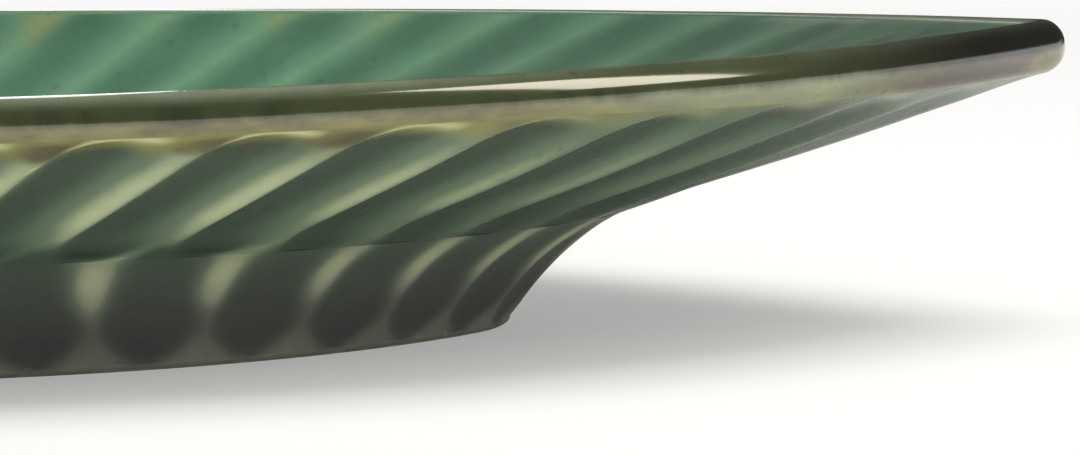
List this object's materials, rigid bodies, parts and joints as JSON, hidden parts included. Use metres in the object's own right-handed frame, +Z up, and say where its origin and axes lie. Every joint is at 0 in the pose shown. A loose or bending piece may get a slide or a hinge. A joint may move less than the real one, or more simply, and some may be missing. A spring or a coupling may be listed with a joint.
{
  "type": "leaf shaped plate",
  "caption": "Leaf-shaped stoneware serving plate with veined flaring walls, a rounded rim and a scooped foot ring, for serving or display on a table.",
  "frame": {"origin": "on the table, under the middle of the plate's box", "axes": "+X towards the leaf's tip, +Y across the leaf, +Z up"},
  "size_m": [0.3, 0.2, 0.039],
  "materials": {
    "green_glaze": "glossy green glaze, paler over the ridges and darker in the scoops",
    "brown_glaze": "glossy olive-brown glaze",
    "dark_glaze": "satin charcoal-green glaze, bare clay under the standing edge"
  },
  "bodies": {
    "root": {"leaf_dish": "green_glaze", "rim_coil": "brown_glaze", "foot_ring": "dark_glaze"}
  },
  "joints": []
}
